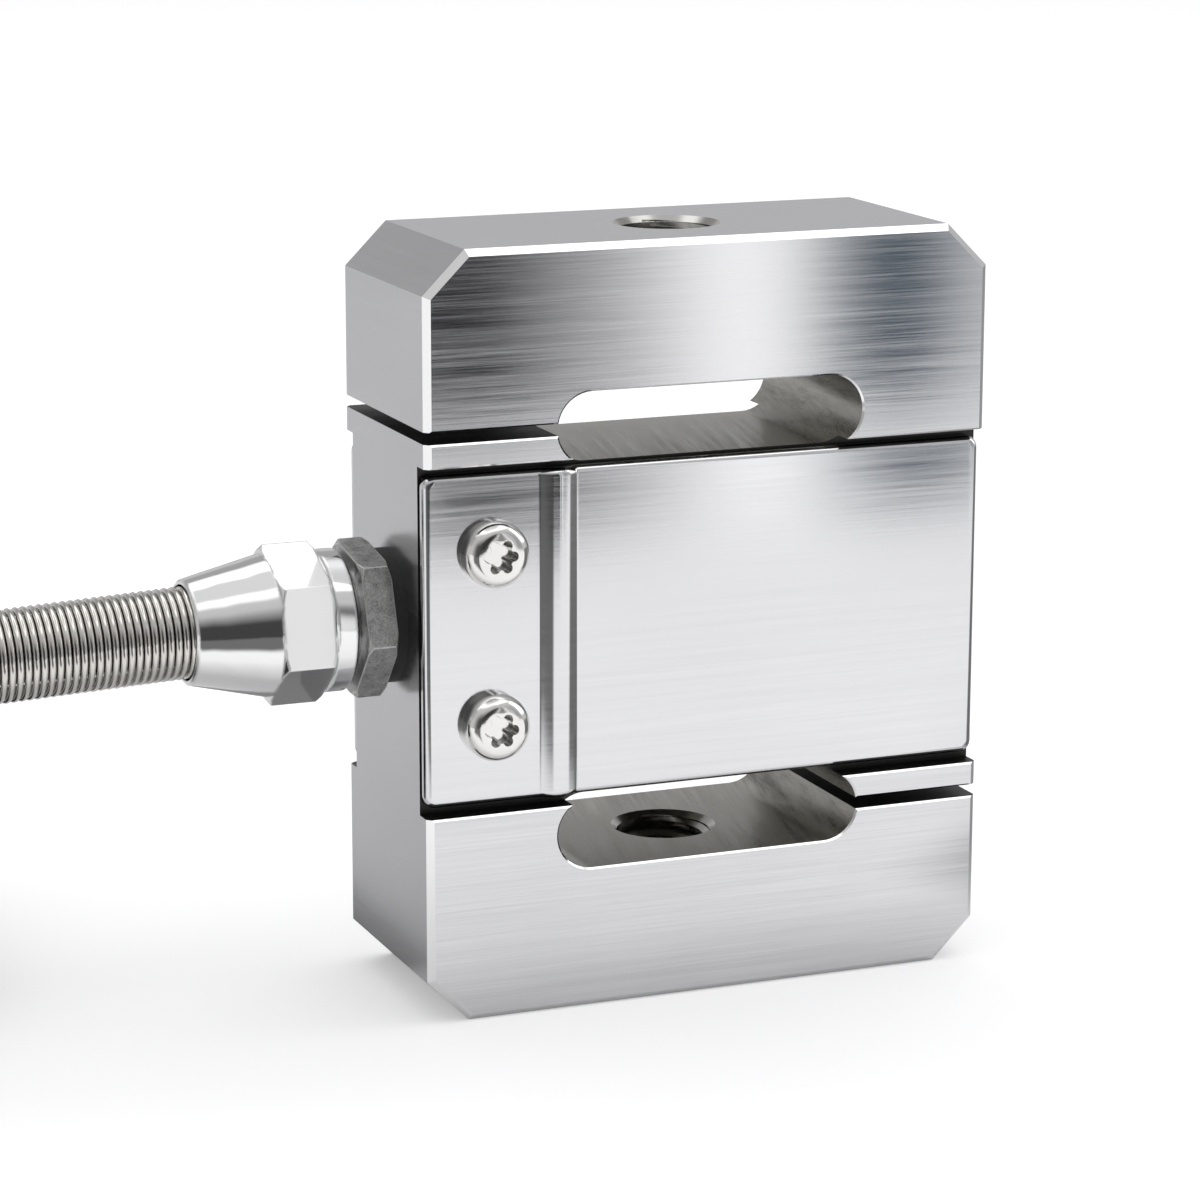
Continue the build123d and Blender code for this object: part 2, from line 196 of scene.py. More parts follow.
def mottle_group():
    """Soft uneven tone, dust in the hollows of the noise and a fine skin for the bump."""
    group, given, result = new_group(
        "mottle", "ShaderNodeTree",
        {
            "Tone": "Color", "Dust Colour": "Color", "Dust": "Float",
            "Patch Scale": "Float", "Skin Scale": "Float", "Roughness": "Float",
        },
        {"Colour": "Color", "Roughness": "Float", "Height": "Float"},
    )
    place = added(group, "ShaderNodeTexCoord").outputs["Object"]
    patch = added(group, "ShaderNodeTexNoise", {
        "Vector": place, "Scale": given["Patch Scale"], "Detail": 4.0,
    })
    skin = added(group, "ShaderNodeTexNoise", {
        "Vector": place, "Scale": given["Skin Scale"], "Detail": 2.0,
    })
    dust_from, dust_full = 0.45, 0.75
    dust = ranged(group, patch.outputs["Fac"], dust_from, dust_full, given["Dust"])
    colour = blended(group, dust, given["Tone"], given["Dust Colour"])
    group.links.new(colour, result["Colour"])
    group.links.new(worked(group, "ADD", given["Roughness"], dust), result["Roughness"])
    group.links.new(skin.outputs["Fac"], result["Height"])
    return group


mottle = mottle_group()


def surfaced(name, effect_tree, values, depth):
    """A material whose colour, roughness and bump come from a group, given its values."""
    material = bpy.data.materials.new(name)
    material.use_nodes = True
    tree = material.node_tree
    tree.nodes.clear()
    output = added(tree, "ShaderNodeOutputMaterial")
    effect = added(tree, "ShaderNodeGroup", values, node_tree=effect_tree)
    bump = added(tree, "ShaderNodeBump", {"Distance": depth, "Height": effect.outputs["Height"]})
    shader = added(tree, "ShaderNodeBsdfPrincipled", {
        "Base Color": effect.outputs["Colour"],
        "Roughness": effect.outputs["Roughness"],
        "Normal": bump.outputs["Normal"],
    })
    tree.links.new(shader.outputs["BSDF"], output.inputs["Surface"])
    return material, shader, effect, bump


def moulded_material(
    name, tone, dust_colour, dust, patch_scale, skin_scale, roughness, skin_depth
):
    """A moulded or coated surface: plastic, rubber, film or glaze."""
    return surfaced(name, mottle, {
        "Tone": (*tone, 1), "Dust Colour": (*dust_colour, 1), "Dust": dust,
        "Patch Scale": patch_scale, "Skin Scale": skin_scale, "Roughness": roughness,
    }, skin_depth)[0]


def refinish(node, material):
    """Gives a CAD node, whose shape stays, a finish of its own."""
    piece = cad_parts[node]
    piece.data.materials.clear()
    piece.data.materials.append(material)
    return piece


sheath = moulded_material(
    "cable_sheath", (0.045, 0.045, 0.05), (0.16, 0.155, 0.15), 0.25, 60, 3000, 0.42, 0.00003
)
line.materials.append(sheath)
inner_cable = refinish("cable_inner_end", sheath)


# Stripped end
# The last of the cable: four coloured cores and the bare twisted screen wire,
# fanned out on the bench.

core_colours = {
    "red": (0.62, 0.03, 0.03),
    "black": (0.02, 0.02, 0.02),
    "green": (0.03, 0.34, 0.09),
    "white": (0.82, 0.82, 0.80),
}
core_radius, strand_share = 0.0006, 0.6
core_spread, core_fan, core_length = 0.0015, 3.0, 0.024
core_root, core_wave = 0.002, 0.0006
core_steps, core_sides, bare_steps = 14, 12, 2
core_count = len(core_colours)
lead_count = core_count + 1
cable_end = Vector(tail_route[-1])
cable_heading = (cable_end - Vector(tail_route[-2])).normalized()


def skinned(work, rings):
    """Faces over a row of rings, with both ends closed."""
    faces = [work.faces.new(rings[0]), work.faces.new(list(reversed(rings[-1])))]
    for near, far in zip(rings, rings[1:]):
        for j in range(len(near)):
            faces.append(work.faces.new((near[j - 1], near[j], far[j], far[j - 1])))
    return faces


def tube(work, places, radius, sides, material_index):
    """A round tube with closed ends, along the given places."""
    rings = []
    for k, place in enumerate(places):
        ahead = places[min(k + 1, len(places) - 1)] - places[max(k - 1, 0)]
        across = ahead.cross(Vector((0, 0, 1))).normalized()
        up = across.cross(ahead).normalized()
        ring = []
        for j in range(sides):
            turn = 2 * math.pi * j / sides
            spoke = across * math.cos(turn) + up * math.sin(turn)
            ring.append(work.verts.new(place + radius * spoke))
        rings.append(ring)
    for face in skinned(work, rings):
        face.material_index = material_index
        face.smooth = len(face.verts) == 4


def closed_mesh(work, name):
    """The mesh of a closed shape, its faces turned outwards."""
    bmesh.ops.recalc_face_normals(work, faces=work.faces)
    mesh = bpy.data.meshes.new(name)
    work.to_mesh(mesh)
    work.free()
    return mesh


work = bmesh.new()
across = Vector((cable_heading.y, -cable_heading.x, 0)).normalized()
for k in range(lead_count):
    angle = 2 * math.pi * (k + 0.25) / lead_count
    side = across * core_spread * math.cos(angle)
    lift = across.cross(cable_heading) * core_spread * math.sin(angle)
    foot = cable_end + side + lift - cable_heading * core_root
    tip = cable_end + side * core_fan + cable_heading * core_length
    tip.z = core_radius
    places = []
    for j in range(core_steps + 1):
        along = j / core_steps
        eased = along * along * (3 - 2 * along)
        place = foot.lerp(tip, along)
        place.z = foot.z + eased * (tip.z - foot.z)
        places.append(place + across * core_wave * math.sin(math.pi * along + k))
    cut = core_steps - bare_steps if k < core_count else 0
    if cut:
        tube(work, places[: cut + 1], core_radius, core_sides, k)
    tube(work, places[cut:], core_radius * strand_share, core_sides, core_count)
cores_mesh = closed_mesh(work, "stripped_cores")
for word, tone in core_colours.items():
    dusty = tuple(0.8 * c + 0.05 for c in tone)
    cores_mesh.materials.append(
        moulded_material(word + "_core", tone, dusty, 0.2, 200, 4000, 0.32, 0.00001)
    )
stripped_cores = link("stripped_cores", cores_mesh)


# Screen wire
# Tinned copper strands, drawn and twisted, bare from end to end. As on all the metal
# here, fine lines run along one direction, under a faint uneven film of handling.

def grain_group():
    """Fine lines stretched along one axis of the object, in two sizes, and a film."""
    group, given, result = new_group(
        "line_grain", "ShaderNodeTree",
        {
            "Stretch": "Vector", "Turn": "Vector", "Tone": "Color", "Contrast": "Float",
            "Roughness": "Float", "Roughness Swing": "Float", "Film": "Float",
        },
        {"Colour": "Color", "Roughness": "Float", "Height": "Float"},
    )
    fine_scale, coarse_scale, film_scale = 1.0, 0.22, 45.0
    coarse_share = 0.35
    place = added(group, "ShaderNodeTexCoord").outputs["Object"]
    rotated = added(group, "ShaderNodeMapping", {"Vector": place, "Rotation": given["Turn"]})
    stretched = added(group, "ShaderNodeVectorMath", {
        0: rotated.outputs["Vector"], 1: given["Stretch"],
    }, operation="MULTIPLY").outputs["Vector"]
    fine = added(group, "ShaderNodeTexNoise", {
        "Vector": stretched, "Scale": fine_scale, "Detail": 3.0, "Roughness": 0.7,
    })
    coarse = added(group, "ShaderNodeTexNoise", {
        "Vector": stretched, "Scale": coarse_scale, "Detail": 2.0,
    })
    film = added(group, "ShaderNodeTexNoise", {
        "Vector": place, "Scale": film_scale, "Detail": 3.0,
    })
    both = added(group, "ShaderNodeMix", {
        "Factor": coarse_share, "A": fine.outputs["Fac"], "B": coarse.outputs["Fac"],
    }).outputs["Result"]
    centred = worked(group, "SUBTRACT", both, 0.5)
    lines = worked(group, "MULTIPLY", centred, given["Contrast"])
    haze = worked(group, "SUBTRACT", film.outputs["Fac"], 0.5)
    hazed = worked(group, "MULTIPLY", haze, given["Film"])
    gain = worked(group, "ADD", worked(group, "ADD", lines, hazed), 1.0)
    swing = worked(
        group, "MULTIPLY_ADD", centred, given["Roughness Swing"], given["Roughness"]
    )
    colour = added(group, "ShaderNodeVectorMath", {
        0: given["Tone"], "Scale": gain,
    }, operation="SCALE")
    group.links.new(colour.outputs["Vector"], result["Colour"])
    group.links.new(swing, result["Roughness"])
    group.links.new(both, result["Height"])
    return group


line_grain = grain_group()
bare_and_highlit_steel = (0.80, 0.79, 0.77, 1)
edges_fully_lightened = 0.93


def steel_material(
    name, tone, roughness, stretch, contrast, swing, depth,
    turn=(0, 0, 0), film=0.1, brushed=0.0, edge=0.0, edge_wear_and_highlight=0.0, bulge=None,
):
    """Bare or plated metal with lines along one direction, and round edges lightened towards bare
    steel, partly as rubbed plating and partly as a painted highlight.
    """
    material, shader, effect, bump = surfaced(name, line_grain, {
        "Stretch": stretch, "Turn": turn, "Tone": (*tone, 1), "Contrast": contrast,
        "Roughness": roughness, "Roughness Swing": swing, "Film": film,
    }, depth)
    tree = material.node_tree
    shader.inputs["Metallic"].default_value = 1.0
    shader.inputs["Anisotropic"].default_value = brushed
    shader.inputs["Anisotropic Rotation"].default_value = 0.25
    if edge:
        rounded = added(tree, "ShaderNodeBevel", {"Radius": edge}, samples=4).outputs["Normal"]
        tree.links.new(rounded, bump.inputs["Normal"])
    # Lighter base colour towards the rounded edges, partly rubbed plating and partly a painted
    # highlight along the chamfers.
    if edge_wear_and_highlight:
        flat = added(tree, "ShaderNodeNewGeometry").outputs["True Normal"]
        alike = added(
            tree, "ShaderNodeVectorMath", {0: rounded, 1: flat}, operation="DOT_PRODUCT"
        ).outputs["Value"]
        lightened_edge = ranged(tree, alike, 1.0, edges_fully_lightened, edge_wear_and_highlight)
        shown = blended(tree, lightened_edge, effect.outputs["Colour"], bare_and_highlit_steel)
        tree.links.new(shown, shader.inputs["Base Color"])
    if bulge:
        middle, curve = bulge
        spot = added(tree, "ShaderNodeTexCoord").outputs["Object"]
        level = added(tree, "ShaderNodeSeparateXYZ", {"Vector": spot}).outputs["Z"]
        above = worked(tree, "SUBTRACT", level, middle)
        squared = worked(tree, "MULTIPLY", above, above)
        swell = added(
            tree, "ShaderNodeBump", {"Distance": curve / 2, "Height": squared}, invert=True
        )
        tree.links.new(swell.outputs["Normal"], bump.inputs["Normal"])
    if brushed:
        along = added(tree, "ShaderNodeTangent", direction_type="RADIAL", axis="Z")
        tree.links.new(along.outputs["Tangent"], shader.inputs["Tangent"])
    return material


tinned_wire = steel_material(
    "tinned_wire", (0.72, 0.70, 0.68), 0.3, (3000, 3000, 800), 0.4, 0.2, 0.00002
)
cores_mesh.materials.append(tinned_wire)


# Block
# One piece of alloy steel, cut from bar, bright plated. The long faces are belt
# brushed from end to end, the bevels are polished and the slots are left milled.
# The narrow slits and the seats round the covers are near black, which is painted shade.

block_tone = (0.66, 0.66, 0.67)
long_face = steel_material(
    "brushed_long_face", block_tone, 0.085, (70, 900, 5200), 0.5, 0.25, 0.0000016, brushed=0.9
)
# The sides and ends are ground. Their tone is set darker than the long faces' plating, which is
# painted shade, because the plating is the same all round.
shade_painted_side_face = steel_material(
    "ground_side_face_painted_shade", (0.59, 0.59, 0.60), 0.25, (1500, 80, 3200), 0.25, 0.15, 0.000002
)
bevel_face = steel_material(
    "polished_bevel", (0.86, 0.86, 0.86), 0.12, (60, 60, 60), 0.05, 0.02, 0.000001
)
slot_wall = steel_material(
    "milled_slot_wall", (0.37, 0.36, 0.33), 0.32, (1500, 60, 1500), 2.6, 0.7, 0.00002,
    turn=(0, 0, math.radians(12)),
)
# Painted shade: the slits and the cover seats get a near black colour that stands for the shade
# inside them.
shade_painted_cut = steel_material(
    "painted_shade_slit_and_seat", (0.05, 0.05, 0.048), 0.42, (90, 900, 3000), 0.5, 0.3, 0.00001
)
thread_face = steel_material(
    "cut_thread", (0.50, 0.49, 0.47), 0.2, (700, 700, 3500), 0.1, 0.05, 0.000001, film=0.02
)


def smooth_shaded(mesh, angle):
    """Shades a mesh smooth, apart from its edges that turn more than the angle."""
    mesh.polygons.foreach_set("use_smooth", [True] * len(mesh.polygons))
    mesh.set_sharp_from_angle(angle=math.radians(angle))


def finished_copy(node, name, materials, smooth_angle=30):
    """A merged and smooth shaded copy of a CAD node, which it stands for."""
    work = bmesh.new()
    work.from_mesh(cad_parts[node].data)
    bmesh.ops.remove_doubles(work, verts=work.verts, dist=1e-6)
    work.verts.index_update()
    corners = [tuple(v.co) for v in work.verts]
    faces = [[v.index for v in face.verts] for face in work.faces]
    work.free()
    mesh = bpy.data.meshes.new(name)
    mesh.from_pydata(corners, [], faces)
    smooth_shaded(mesh, smooth_angle)
    for material in materials:
        mesh.materials.append(material)
    piece = link(name, mesh)
    weighted = piece.modifiers.new("weighted", "WEIGHTED_NORMAL")
    weighted.keep_sharp = True
    evaluated = piece.evaluated_get(bpy.context.evaluated_depsgraph_get())
    shaded = bpy.data.meshes.new_from_object(evaluated)
    piece.modifiers.clear()
    piece.data = shaded
    bpy.data.meshes.remove(mesh)
    shaded.name = name
    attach(piece, "root")
    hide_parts(node)
    return piece


block = finished_copy(
    "body", "block", [long_face, shade_painted_side_face, bevel_face, slot_wall, shade_painted_cut, thread_face]
)
on_long, on_side, on_bevel, on_slot, on_painted_shade, on_thread = range(6)
low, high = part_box("body")
half_width, half_depth = high.x, high.y
hair = 0.00001
outline_zone, bevel_zone, face_zone = 0.0045, 0.0009, 0.0001
hole_reach = 0.0047
load_hole_depth, gland_hole_half = 0.0125, 0.0045
slit_levels, slit_half, slit_inner = (0.0150, 0.0490), 0.00051, 0.013
seat_levels, seat_inner = (0.0175, 0.0465), 0.0079


def block_surface(face):
    """Which of the block's finishes a face has, from where it is and how it is turned."""
    x, y, z = face.center
    normal = face.normal
    at_end = abs(z - high.z / 2) > high.z / 2 - load_hole_depth
    if math.hypot(x, y) < hole_reach and at_end and abs(normal.z) < 0.9:
        return on_thread
    on_gland_line = math.hypot(y, z - gland_mouth[2]) < hole_reach and abs(y) < gland_hole_half
    if on_gland_line and x < 0 and abs(normal.x) < 0.5:
        return on_thread
    # Slit walls, seat walls and the seat floors below them get the painted shade.
    if abs(normal.z) > 0.99:
        from_slit = min(abs(z - level) for level in slit_levels)
        from_seat = min(abs(z - level) for level in seat_levels)
        in_slit = from_slit < slit_half and abs(x) > slit_inner
        beside_seat = from_seat < hair and abs(y) > seat_inner
        if in_slit or beside_seat:
            return on_painted_shade
    if abs(normal.y) > 0.99:
        return on_long if abs(y) > half_depth - face_zone else on_painted_shade
    if abs(normal.y) > 0.2 and abs(y) > half_depth - bevel_zone:
        return on_bevel
    beside_ends = z < low.z + outline_zone or z > high.z - outline_zone
    at_outline = abs(x) > half_width - outline_zone or beside_ends
    on_corner = abs(abs(normal.x) - 0.707) < 0.02
    squarely = abs(normal.x) > 0.99 or abs(normal.z) > 0.99
    on_side_plane = abs(x) > half_width - hair
    on_end_plane = z < low.z + hair or z > high.z - hair
    if at_outline and (on_corner or squarely and (on_side_plane or on_end_plane)):
        return on_side
    return on_slot


for face in block.data.polygons:
    face.material_index = block_surface(face)


# Load threads
# The M8 threads that the load hangs on, tapped through both ends of the block. Each is
# one helical ridge in its bore, fading out at both ends.

thread_pitch = 0.00125
thread_major, thread_minor = 0.004, 0.00335
thread_bite = 0.00005
thread_steps = 48
fade_turns, least_ridge = 0.4, 0.02
root_half, crest_half = 0.44, 0.07
end_block, end_gap = 0.012, 0.0002


def thread_ridge(name, start, end):
    """A helical ridge on the load axis, between two heights."""
    work = bmesh.new()
    turns = (end - start) / thread_pitch - 1
    count = round(turns * thread_steps)
    fade_steps = fade_turns * thread_steps
    rings = []
    for k in range(count + 1):
        angle = 2 * math.pi * k / thread_steps
        z = start + thread_pitch / 2 + thread_pitch * k / thread_steps
        fade = min(1, k / fade_steps, (count - k) / fade_steps)
        root = thread_major + thread_bite
        crest = root - max(fade, least_ridge) * (thread_major - thread_minor)
        ring = []
        for radius, offset in (
            (root, -root_half), (crest, -crest_half), (crest, crest_half), (root, root_half)
        ):
            x, y = radius * math.cos(angle), radius * math.sin(angle)
            ring.append(work.verts.new((x, y, z + offset * thread_pitch)))
        rings.append(ring)
    skinned(work, rings)
    mesh = closed_mesh(work, name)
    smooth_shaded(mesh, 30)
    mesh.materials.append(thread_face)
    piece = link(name, mesh)
    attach(piece, "root")
    return piece


thread_ridge("lower_load_thread", low.z + end_gap, low.z + end_block - end_gap)
thread_ridge("upper_load_thread", high.z - end_block + end_gap, high.z - end_gap)


# Covers
# Pressed and fine brushed sheet over each gauge pocket, with a stiffening bead
# between the screws and the flat panel, on a thin rubber gasket.

cover_face = steel_material(
    "brushed_cover", (0.72, 0.72, 0.73), 0.11, (60, 900, 4200), 0.25, 0.2, 0.0000025, brushed=0.85,
    bulge=(0.032, 3.6),
)
gasket_rubber = moulded_material(
    "gasket_rubber", (0.02, 0.02, 0.02), (0.08, 0.08, 0.08), 0.2, 200, 6000, 0.6, 0.00002
)
for side in ("front", "back"):
    finished_copy(side + "_cover", side + "_gauge_cover", [cover_face], 40)
    refinish(side + "_gasket", gasket_rubber)


# Cover screws
# Bright plated M3 pan heads with a six-lobed recess. Two of them, one above the other,
# hold each cover to the block.

screw_chrome = steel_material(
    "screw_plating", (0.80, 0.79, 0.77), 0.12, (1500, 1500, 1500), 0.15, 0.1, 0.000003,
    edge=0.00006,
)
for side in ("front", "back"):
    for place in ("upper", "lower"):
        node = side + "_screw_" + place
        finished_copy(node, side + "_" + place + "_cover_screw", [screw_chrome], 35)


# Gauges and boards
# Foil gauges on amber film, green laminate boards with tinned pads, a glazed
# trimming resistor on each and four thin wires, all out of sight in the pockets.

hidden = {
    "strain_gauge": ((0.72, 0.45, 0.14), (0.55, 0.33, 0.12), 0.4, 400, 3000, 0.35, 0.00001),
    "terminal_board": ((0.04, 0.27, 0.11), (0.10, 0.30, 0.16), 0.3, 300, 5000, 0.4, 0.00001),
    "trim_resistor": ((0.04, 0.04, 0.045), (0.12, 0.12, 0.12), 0.2, 500, 4000, 0.25, 0.00001),
}
for word, look in hidden.items():
    surface = moulded_material(word, *look)
    for side in ("front", "back"):
        refinish(side + "_" + word, surface)
for word, surface in zip(core_colours, stripped_cores.data.materials):
    refinish(word + "_inner_lead", surface)


# Gland
# A rubber washer, a dull grey lock nut, the polished gland body with its collar,
# and the polished compression nut, a hexagon and a long cone in one piece. Inside it
# a rubber seal and a nylon ring grip the cable.

gland_chrome = steel_material(
    "gland_plating", (0.84, 0.84, 0.84), 0.06, (400, 400, 400), 0.05, 0.04, 0.000001, edge=0.0003
)
# The lock nut's lighter edges are partly rubbed plating and partly a painted highlight.
nut_grey = steel_material(
    "lock_nut_plating", (0.42, 0.415, 0.41), 0.36, (6000, 6000, 6000), 3.0, 0.5, 0.000016,
    edge=0.0002, edge_wear_and_highlight=0.9,
)
black_rubber = moulded_material(
    "washer_rubber", (0.015, 0.015, 0.015), (0.06, 0.06, 0.06), 0.2, 300, 6000, 0.55, 0.00002
)
nylon = moulded_material(
    "clamp_nylon", (0.78, 0.76, 0.70), (0.65, 0.62, 0.56), 0.3, 200, 3000, 0.4, 0.00002
)
gland_pieces = [
    finished_copy("sealing_washer", "gland_washer", [black_rubber]),
    finished_copy("lock_nut", "gland_lock_nut", [nut_grey]),
    finished_copy("gland_body", "gland_barrel", [gland_chrome]),
    finished_copy("compression_nut", "gland_cap", [gland_chrome]),
    refinish("cable_seal", black_rubber),
    refinish("clamp_ring", nylon),
]


# Spring guard
# Bright spring wire, close wound, pushed into the cone's mouth. It keeps the cable
# from kinking and droops a little under its own weight.

guard_turns = 46
guard_pitch = 0.00065
guard_wire_radius = 0.00029
guard_coil_radius = 0.0035
guard_steps, guard_sides = 28, 10
guard_droop = math.radians(2.5)
guard_insertion = 0.0021
guard_wire = steel_material(
    "spring_wire", (0.68, 0.66, 0.63), 0.14, (900, 900, 900), 0.4, 0.15, 0.000004
)


def spring_tree():
    """A round wire wound along Z, given by its turns, length and radii."""
    tree, given, result = new_group(
        "close_wound_spring", "GeometryNodeTree",
        {
            "Geometry": "Geometry", "Turns": "Float", "Length": "Float",
            "Coil Radius": "Float", "Wire Radius": "Float", "Material": "Material",
        },
        {"Geometry": "Geometry"},
    )
    helix = added(tree, "GeometryNodeCurveSpiral", {
        "Resolution": guard_steps, "Rotations": given["Turns"], "Height": given["Length"],
        "Start Radius": given["Coil Radius"], "End Radius": given["Coil Radius"],
    })
    section = added(tree, "GeometryNodeCurvePrimitiveCircle", {
        "Resolution": guard_sides, "Radius": given["Wire Radius"],
    })
    wire = added(tree, "GeometryNodeCurveToMesh", {
        "Curve": helix.outputs["Curve"], "Profile Curve": section.outputs["Curve"],
        "Fill Caps": True,
    })
    real = added(tree, "GeometryNodeRealizeInstances", {"Geometry": wire.outputs["Mesh"]})
    finish = added(tree, "GeometryNodeSetMaterial", {
        "Geometry": real.outputs["Geometry"], "Material": given["Material"],
    })
    tree.links.new(finish.outputs["Geometry"], result["Geometry"])
    return tree


def made_by(tree, name, values):
    """The plain mesh that a tree makes from its named inputs."""
    maker = link(name + "_maker", bpy.data.meshes.new(name + "_maker"))
    modifier = maker.modifiers.new("tree", "NODES")
    modifier.node_group = tree
    for item in tree.interface.items_tree:
        if item.in_out == "INPUT" and item.name in values:
            modifier[item.identifier] = values[item.name]
    evaluated = maker.evaluated_get(bpy.context.evaluated_depsgraph_get())
    mesh = bpy.data.meshes.new_from_object(evaluated)
    mesh.name = name
    bpy.data.objects.remove(maker)
    return mesh


spring_mesh = made_by(spring_tree(), "spring", {
    "Turns": float(guard_turns),
    "Length": guard_turns * guard_pitch,
    "Coil Radius": guard_coil_radius,
    "Wire Radius": guard_wire_radius,
    "Material": guard_wire,
})
spring_mesh.polygons.foreach_set("use_smooth", [True] * len(spring_mesh.polygons))
lay_down = Matrix.Rotation(-math.pi / 2 - guard_droop, 4, "Y")
back_in = Matrix.Translation((0, 0, -guard_insertion))
spring_mesh.transform(Matrix.Translation(gland_mouth) @ lay_down @ back_in)
spring = link("spring", spring_mesh)
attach(spring, "root")
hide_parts("spring_guard")


# Coil ties
# Two black moulded straps, one on each side of the coil, which hold the turns of the
# spare cable together. With them all that the cable carries is made.

strap = moulded_material(
    "tie_strap", (0.02, 0.02, 0.021), (0.07, 0.07, 0.07), 0.2, 200, 5000, 0.45, 0.00003
)
for word in ("right", "left"):
    finished_copy("coil_tie_" + word, word + "_tie", [strap])

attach(cable, "root")
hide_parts("cable_lead", "cable_coil", "cable_tail")
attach(stripped_cores, "root")
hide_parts("cable_end_leads")


# Bench
# A matt white bench top. Only in what the metal mirrors, two dark patches are painted on it:
# painted dark reflections fanned out in front of the cell, and a painted shadow behind it to the
# left.

bench_front, bench_size = 0.255, 3
bench_colour, painted_shade_colour = (0.86, 0.86, 0.87, 1), (0.2, 0.2, 0.2, 1)
bench_glow = 0.35
dark, light = (0, 0, 0), (1, 1, 1)


def tone_ramp(tree, value, low, high, stops):
    """Tones along a value: each stop is where along it, and its colour."""
    ramp = added(tree, "ShaderNodeValToRGB", {"Fac": ranged(tree, value, low, high)})
    elements = ramp.color_ramp.elements
    elements.remove(elements[1])
    for k, (at, colour) in enumerate(stops):
        position = (at - low) / (high - low)
        element = elements.new(position) if k else elements[0]
        element.position = position
        element.color = (*colour, 1)
    return ramp.outputs["Color"]


bench_mesh = bpy.data.meshes.new("bench")
bench_mesh.from_pydata([
    (-bench_size, -bench_front, 0), (bench_size, -bench_front, 0),
    (bench_size, bench_size, 0), (-bench_size, bench_size, 0),
], [], [(0, 1, 2, 3)])
bench = link("bench", bench_mesh)
bench_white = bpy.data.materials.new("bench_white")
bench_white.use_nodes = True
tree = bench_white.node_tree
tree.nodes.clear()
seen_by = added(tree, "ShaderNodeLightPath").outputs
spot = added(tree, "ShaderNodeTexCoord").outputs["Object"]
across_bench, along_bench, _ = added(tree, "ShaderNodeSeparateXYZ", {"Vector": spot}).outputs

forward = worked(tree, "MULTIPLY_ADD", along_bench, -1, -0.0104)
sideways = worked(tree, "ADD", across_bench, 0.0117)
turned = worked(tree, "DEGREES", worked(tree, "ARCTAN2", sideways, forward))
# Painted dark reflections, fanned out in front of the cell and seen only by glossy rays.
fan = tone_ramp(tree, turned, -180, 180, (
    (-64, dark), (-58, light), (-14, light), (-6, dark),
    (56, dark), (64, light), (100, light), (110, dark),
))
paced = added(tree, "ShaderNodeCombineXYZ", {"X": sideways, "Y": forward}).outputs["Vector"]
distance = added(tree, "ShaderNodeVectorMath", {0: paced}, operation="LENGTH").outputs["Value"]
past_corner = ranged(tree, distance, 0.045, 0.065)
left_part = ranged(tree, forward, 0.042, 0.062)
right_part = worked(tree, "GREATER_THAN", sideways, 0)
either_part = worked(tree, "MAXIMUM", left_part, right_part)
front_painted_dark = worked(tree, "MULTIPLY", worked(tree, "MULTIPLY", fan, past_corner), either_part)
# Painted shadow behind the cell, seen only in reflections, which deepens its contact shadow there.
behind_cell = ranged(tree, along_bench, 0.003, 0.006, most=0.8)
right_of_cone = ranged(tree, across_bench, -0.033, -0.031)
back_painted_shadow = worked(tree, "MULTIPLY", behind_cell, right_of_cone)
painted_dark_patches = worked(tree, "MAXIMUM", front_painted_dark, back_painted_shadow)

mirrored_painted_dark = worked(tree, "MULTIPLY", seen_by["Is Glossy Ray"], painted_dark_patches)
off_painted_dark = worked(tree, "SUBTRACT", 1, painted_dark_patches, clamp=True)
# Painted reflection light: only in reflections, the bench in front of the cell glows, and the
# bench next to and behind it does not.
in_front = ranged(tree, along_bench, -0.005, -0.03)
mirrored_front = worked(tree, "MULTIPLY", seen_by["Is Glossy Ray"], in_front)
painted_front_glow = worked(tree, "MULTIPLY", mirrored_front, off_painted_dark)
lit = worked(tree, "MAXIMUM", seen_by["Is Camera Ray"], painted_front_glow)
shader = added(tree, "ShaderNodeBsdfPrincipled", {
    "Base Color": blended(tree, mirrored_painted_dark, bench_colour, painted_shade_colour),
    "Roughness": 0.9,
    "Specular IOR Level": 0.1,
    "Emission Color": (1, 1, 1, 1),
    "Emission Strength": worked(tree, "MULTIPLY", lit, bench_glow),
})
added(tree, "ShaderNodeOutputMaterial", {"Surface": shader.outputs["BSDF"]})
bench_mesh.materials.append(bench_white)


# Room and lamps
# A bright ceiling with a dark zenith, a pale wall behind, and a darker room in front
# with a few bright and dark strips, which is what the plated faces and the gland
# mirror. The camera sees plain white. Two softboxes give the shadow.

world = bpy.data.worlds.new("room")
bpy.context.scene.world = world
world.use_nodes = True
tree = world.node_tree
tree.nodes.clear()
place = added(tree, "ShaderNodeTexCoord").outputs["Generated"]
rightward, backward, upward = added(tree, "ShaderNodeSeparateXYZ", {"Vector": place}).outputs
ceiling = tone_ramp(tree, upward, -1, 1, (
    (0.35, (0.50, 0.50, 0.50)), (0.80, (0.65, 0.65, 0.65)), (0.86, (1.3, 1.3, 1.3)),
    (0.93, (1.3, 1.3, 1.3)), (0.96, (0.35, 0.35, 0.35)),
))
back_wall = tone_ramp(tree, upward, -1, 1, (
    (0.0, (0.60, 0.60, 0.61)), (0.28, (0.60, 0.60, 0.61)), (0.38, (0.42, 0.42, 0.42)),
    (0.68, (0.40, 0.40, 0.40)), (0.80, (1.3, 1.3, 1.3)), (0.93, (1.3, 1.3, 1.3)),
    (0.96, (0.35, 0.35, 0.35)),
))
frontward = worked(tree, "MULTIPLY", backward, -1)
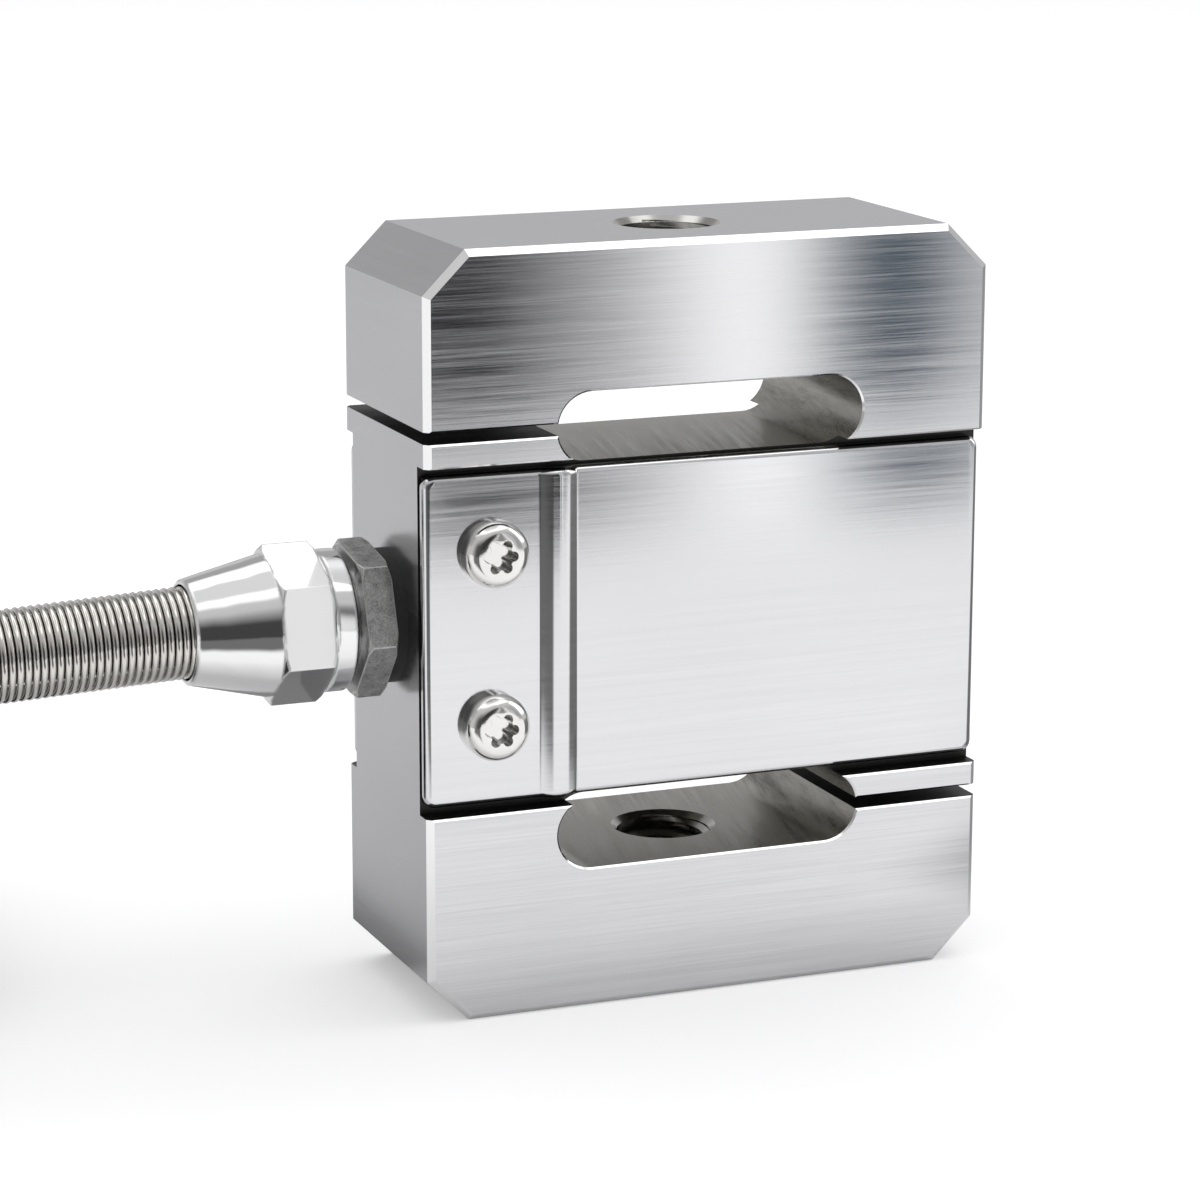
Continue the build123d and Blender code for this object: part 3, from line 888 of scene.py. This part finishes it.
bearing = worked(tree, "DEGREES", worked(tree, "ARCTAN2", rightward, frontward))
front_wall = tone_ramp(tree, bearing, -80, 80, (
    (-75, (0.62, 0.62, 0.63)), (-45, (0.10, 0.10, 0.10)), (15.5, (0.03, 0.03, 0.03)),
    (16.5, (0.95, 0.95, 0.95)), (18.2, (0.95, 0.95, 0.95)), (19.2, (0.03, 0.03, 0.035)),
    (20.6, (0.04, 0.04, 0.045)), (22.6, (0.65, 0.65, 0.66)), (24.0, (1.4, 1.4, 1.4)),
    (24.8, (1.4, 1.4, 1.4)), (26.0, (0.05, 0.08, 0.11)), (26.8, (0.05, 0.08, 0.11)),
    (27.8, (0.80, 0.81, 0.83)), (34, (0.35, 0.35, 0.36)), (70, (0.62, 0.62, 0.63)),
))
low_part = tone_ramp(tree, upward, -1, 1, ((0.3, light), (0.65, dark)))
front_room = blended(tree, low_part, ceiling, front_wall)
facing_front = ranged(tree, frontward, -0.15, 0.15)
mirrored_room = added(tree, "ShaderNodeBackground", {
    "Color": blended(tree, facing_front, back_wall, front_room),
})
plain_white = added(tree, "ShaderNodeBackground", {"Color": (1, 1, 1, 1)})
room = added(tree, "ShaderNodeMixShader", {
    "Fac": added(tree, "ShaderNodeLightPath").outputs["Is Camera Ray"],
    1: mirrored_room.outputs["Background"],
    2: plain_white.outputs["Background"],
})
added(tree, "ShaderNodeOutputWorld", {"Surface": room.outputs["Shader"]})


def softbox(name, place, aim, width, height, power):
    """A large soft lamp that faces a point."""
    lamp = bpy.data.lights.new(name, "AREA")
    lamp.shape = "RECTANGLE"
    lamp.size = width
    lamp.size_y = height
    lamp.energy = power
    facing = (Vector(aim) - Vector(place)).to_track_quat("-Z", "Y")
    link(name, lamp).matrix_world = Matrix.Translation(place) @ facing.to_matrix().to_4x4()


softbox("overhead_softbox", (0.1, 0.1, 0.9), (0, 0, 0.03), 1.3, 1.0, 1.8)
softbox("right_softbox", (0.75, -0.15, 0.45), (0, 0, 0.03), 0.35, 0.6, 0.8)

bpy.context.scene.view_settings.view_transform = "Standard"
